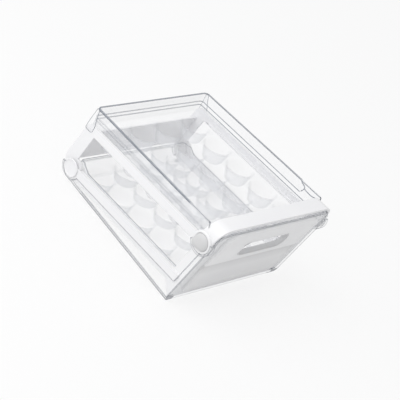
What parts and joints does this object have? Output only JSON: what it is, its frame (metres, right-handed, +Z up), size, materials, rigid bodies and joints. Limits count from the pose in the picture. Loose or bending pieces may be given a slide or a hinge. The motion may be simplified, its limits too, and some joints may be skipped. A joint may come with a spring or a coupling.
{
  "type": "egg box",
  "caption": "Two-tier egg box: clear bin with white side frames, clear cup trays, and an upper tier that tips up about a rear hinge under a front handle arch.",
  "frame": {"origin": "on the shelf under the middle of the box's bounding box", "axes": "+Z up, -Y toward the leaning front with the finger slot, +X to the right seen from the front"},
  "size_m": [0.238, 0.2918, 0.1562],
  "materials": {
    "clear_plastic": "clear, glossy",
    "white_plastic": "satin"
  },
  "bodies": {
    "base": {"bin": "clear_plastic", "lower_frame_left": "white_plastic", "lower_frame_right": "white_plastic", "front_crosswall": "white_plastic", "front_panel": "white_plastic", "lower_tray": "clear_plastic", "hinge_disc_left": "white_plastic", "hinge_disc_right": "white_plastic"},
    "upper_tier": {"upper_arm_left": "white_plastic", "upper_arm_right": "white_plastic", "back_panel": "white_plastic", "upper_tray": "clear_plastic", "handle_arch": "white_plastic"},
    "knob_left": {"latch_knob_left": "white_plastic"},
    "knob_right": {"latch_knob_right": "white_plastic"}
  },
  "joints": [
    {"name": "tier_hinge", "type": "hinge", "parent": "base", "child": "upper_tier", "pos_m": [0, 0.12388, 0.0252], "axis": [-1, 0, 0], "range_deg": [0, 60]},
    {"name": "knob_left_turn", "type": "hinge", "parent": "upper_tier", "child": "knob_left", "pos_m": [-0.1075, -0.12347, 0.12227], "axis": [1, 0, 0], "range_deg": [0, 90]},
    {"name": "knob_right_turn", "type": "hinge", "parent": "upper_tier", "child": "knob_right", "pos_m": [0.1075, -0.12347, 0.12227], "axis": [1, 0, 0], "range_deg": [0, 90]}
  ]
}
